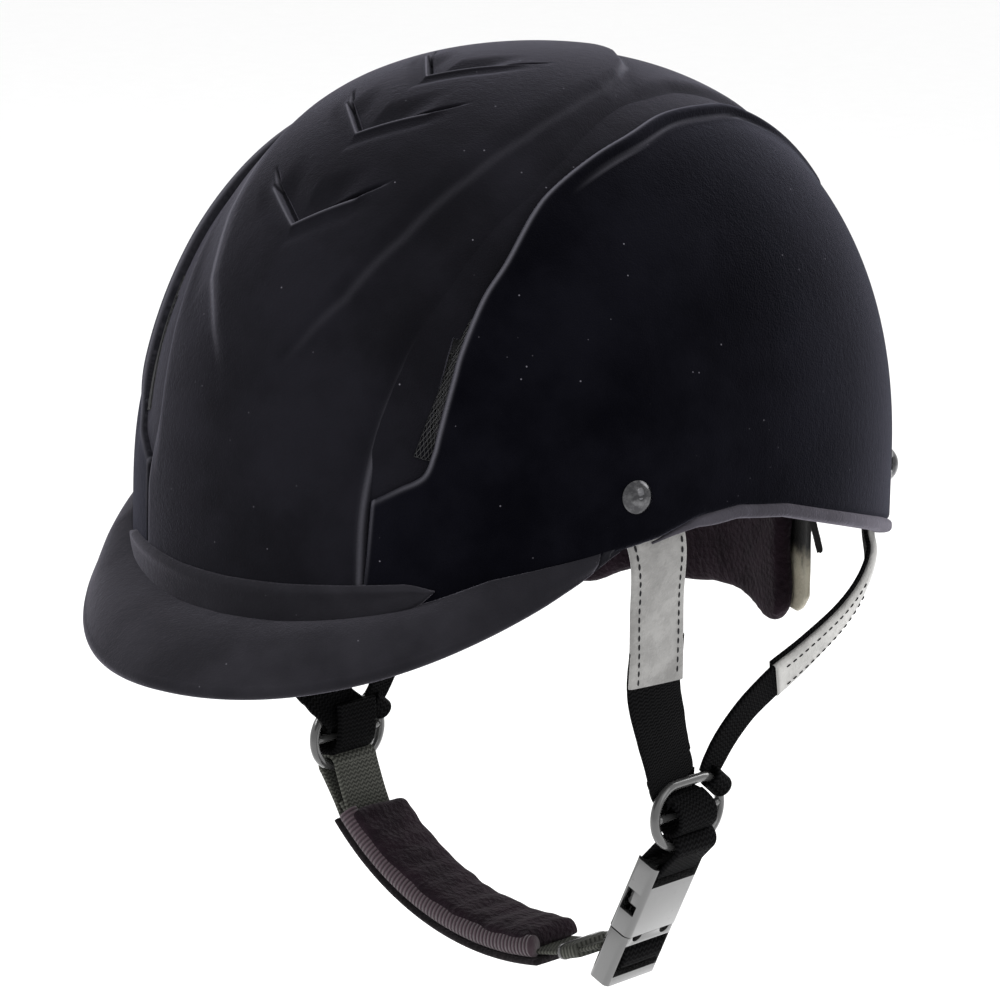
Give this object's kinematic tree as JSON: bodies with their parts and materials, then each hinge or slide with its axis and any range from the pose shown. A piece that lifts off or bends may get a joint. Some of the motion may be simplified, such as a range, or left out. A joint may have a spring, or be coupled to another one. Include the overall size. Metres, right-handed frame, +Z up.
{
  "type": "equestrian riding helmet",
  "caption": "Riding helmet with a flocked shell, soft peak, impact liner and a leather and webbing harness with chin pad and side release buckle.",
  "frame": {"origin": "centre of the head opening at the shell's widest level, where the wall starts to curve in to the crown", "axes": "+Z up towards the crown, -Y forward over the peak, +X to the wearer's left"},
  "size_m": [0.214, 0.2864, 0.2832],
  "materials": {
    "flocked_velvet": "black flocked velvet over moulded plastic, faint blue-violet sheen",
    "vent_mesh": "black woven mesh",
    "liner_foam": "black expanded bead foam",
    "comfort_fabric": "brushed black knit over soft foam",
    "grey_velvet": "grey velvet binding tape",
    "peak_plastic": "semi-rigid black plastic",
    "peak_lining": "black woven lining under the peak",
    "chrome": "polished chrome plate",
    "grey_leather": "grey grained leather with dark stitching",
    "black_webbing": "black ribbed polyester webbing",
    "ring_plastic": "dark grey moulded plastic",
    "plum_fleece": "plum-black brushed fleece",
    "pad_backing": "dark ribbed fabric",
    "elastic": "black woven elastic",
    "buckle_plastic": "black glossy moulded acetal",
    "cream_leather": "cream leather, flesh side",
    "lace": "light grey braided lace"
  },
  "bodies": {
    "helmet": {"crown_panel": "flocked_velvet", "side_panel_left": "flocked_velvet", "side_panel_right": "flocked_velvet", "outer_shell": "flocked_velvet", "vent_mesh_left": "vent_mesh", "vent_mesh_right": "vent_mesh", "liner_centre": "liner_foam", "liner_left": "liner_foam", "liner_right": "liner_foam", "brow_pad": "comfort_fabric", "nape_comfort_pad": "comfort_fabric", "side_comfort_pads": "comfort_fabric", "crown_pad": "comfort_fabric", "rim_binding": "grey_velvet", "peak_cover": "flocked_velvet", "peak_core": "peak_plastic", "peak_lining": "peak_lining", "peak_band": "flocked_velvet", "strap_rivets": "chrome", "rivet_washers": "chrome", "front_leather_left": "grey_leather", "front_leather_right": "grey_leather", "rear_leather_left": "grey_leather", "rear_leather_right": "grey_leather", "front_webbing_left": "black_webbing", "front_webbing_right": "black_webbing", "rear_webbing_left": "black_webbing", "rear_webbing_right": "black_webbing", "strap_ring_left": "ring_plastic", "strap_ring_right": "ring_plastic", "nape_hangers": "black_webbing", "nape_laces": "lace"},
    "chin_strap": {"chin_webbing": "black_webbing", "chin_loop_right": "black_webbing", "socket_loop": "black_webbing", "buckle_socket": "buckle_plastic"},
    "chin_pad": {"chin_pad_fleece": "plum_fleece", "chin_pad_backing": "pad_backing"},
    "keeper": {"keeper_loop": "elastic"},
    "buckle_plug": {"buckle_plug": "buckle_plastic", "plug_loop": "black_webbing"},
    "prong_front": {"buckle_prong_front": "buckle_plastic"},
    "prong_rear": {"buckle_prong_rear": "buckle_plastic"},
    "nape_pad": {"nape_pad": "plum_fleece", "nape_backing": "cream_leather"}
  },
  "joints": [
    {"name": "chin_strap_swing", "type": "hinge", "parent": "helmet", "child": "chin_strap", "pos_m": [0, -0.001, -0.097], "axis": [1, 0, 0], "range_deg": [-60, 40], "deforming": ["socket_loop", "chin_loop_right"]},
    {"name": "chin_pad_slide", "type": "hinge", "parent": "chin_strap", "child": "chin_pad", "pos_m": [0.006, -0.001, -0.059], "axis": [0, 1, 0], "range_deg": [-3.5, 1.5]},
    {"name": "keeper_slide", "type": "hinge", "parent": "chin_strap", "child": "keeper", "pos_m": [0.006, -0.001, -0.059], "axis": [0, 1, 0], "range_deg": [-1.5, 1.5]},
    {"name": "buckle_release", "type": "slide", "parent": "chin_strap", "child": "buckle_plug", "axis": [-0.4289, 0, -0.9033], "range_m": [0, 0.02], "deforming": ["plug_loop", "chin_webbing"]},
    {"name": "prong_front_squeeze", "type": "hinge", "parent": "buckle_plug", "child": "prong_front", "pos_m": [0.05308, -0.0075, -0.13605], "axis": [0.9033, 0, -0.4289], "range_deg": [0, 7], "stiffness_Nm_per_rad": 0.05},
    {"name": "prong_rear_squeeze", "type": "hinge", "parent": "buckle_plug", "child": "prong_rear", "pos_m": [0.05308, 0.0055, -0.13605], "axis": [0.9033, 0, -0.4289], "range_deg": [-7, 0], "stiffness_Nm_per_rad": 0.05},
    {"name": "nape_pad_tilt", "type": "hinge", "parent": "helmet", "child": "nape_pad", "pos_m": [0, 0.0925, -0.018], "axis": [1, 0, 0], "range_deg": [-7, 12], "stiffness_Nm_per_rad": 0.02, "deforming": ["nape_hangers", "nape_laces"]}
  ],
  "couplings": [
    {"joint": "prong_rear_squeeze", "follows": "prong_front_squeeze", "ratio": -1}
  ]
}
